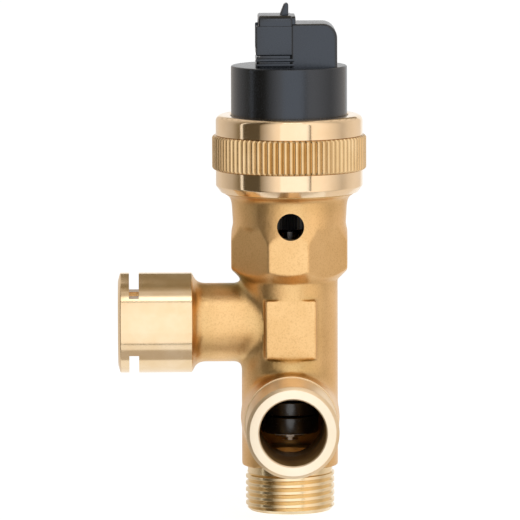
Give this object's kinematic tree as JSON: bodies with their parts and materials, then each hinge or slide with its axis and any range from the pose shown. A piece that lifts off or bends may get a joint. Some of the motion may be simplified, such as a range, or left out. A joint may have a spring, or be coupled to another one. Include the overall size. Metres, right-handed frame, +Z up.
{
  "type": "motorised three-port valve",
  "caption": "Brass three-port valve with a clip-in side port, a front port and a threaded bottom port, a knurled union nut and a black screw-drive actuator with a plug socket.",
  "frame": {"origin": "centre of the bottom port's sealing face, on the valve's upright axis", "axes": "+Z up along the valve's axis towards the actuator, -X out of the left port, -Y out of the front port"},
  "size_m": [0.0739, 0.0629, 0.1511],
  "materials": {
    "cast_brass": "satin cast brass, machined faces bright",
    "turned_brass": "bright turned brass, knurled band",
    "grey_plastic": "moulded grey plastic",
    "rubber": "black rubber",
    "stainless": "bright stainless steel",
    "black_plastic": "moulded black plastic, fine texture",
    "motor_steel": "pressed steel",
    "copper_winding": "enamelled copper winding",
    "magnet": "dark sintered magnet",
    "contact_metal": "plated contact pin"
  },
  "bodies": {
    "valve": {"valve_body": "cast_brass", "cartridge_cage": "grey_plastic", "cage_o_ring_lower": "rubber", "cage_o_ring_upper": "rubber", "stem_seal_lower": "rubber", "stem_seal_upper": "rubber", "head_gasket": "rubber", "cage_circlip": "stainless", "return_spring": "stainless", "actuator_base": "black_plastic", "actuator_housing": "black_plastic", "stator_lower": "motor_steel", "stator_upper": "motor_steel", "rotor_bearing_lower": "motor_steel", "rotor_bearing_upper": "motor_steel", "coil_lower": "copper_winding", "coil_upper": "copper_winding", "contact_pin_1": "contact_metal", "contact_pin_2": "contact_metal", "contact_pin_3": "contact_metal", "contact_pin_4": "contact_metal"},
    "nut": {"union_nut": "turned_brass"},
    "rotor": {"rotor_magnet": "magnet", "rotor_hub": "grey_plastic"},
    "stem": {"spindle": "black_plastic", "valve_stem": "stainless", "plug_core": "grey_plastic", "plug_seal_lower": "rubber", "plug_seal_upper": "rubber", "plug_clip_lower": "stainless", "plug_clip_upper": "stainless", "spring_plate": "stainless", "spring_clip": "stainless"}
  },
  "joints": [
    {"name": "rotor_spin", "type": "hinge", "parent": "valve", "child": "rotor", "pos_m": [0, 0, 0.1216], "axis": [0, 0, 1], "range_deg": [0, 720]},
    {"name": "stem_slide", "type": "slide", "parent": "valve", "child": "stem", "axis": [0, 0, -1], "range_m": [0, 0.0048], "deforming": ["return_spring"]},
    {"name": "union_nut_turn", "type": "hinge", "parent": "valve", "child": "nut", "pos_m": [0, 0, 0.1066], "axis": [0, 0, 1], "continuous": true}
  ],
  "couplings": [
    {"joint": "rotor_spin", "follows": "stem_slide", "rad_per_m": 2617.9}
  ]
}
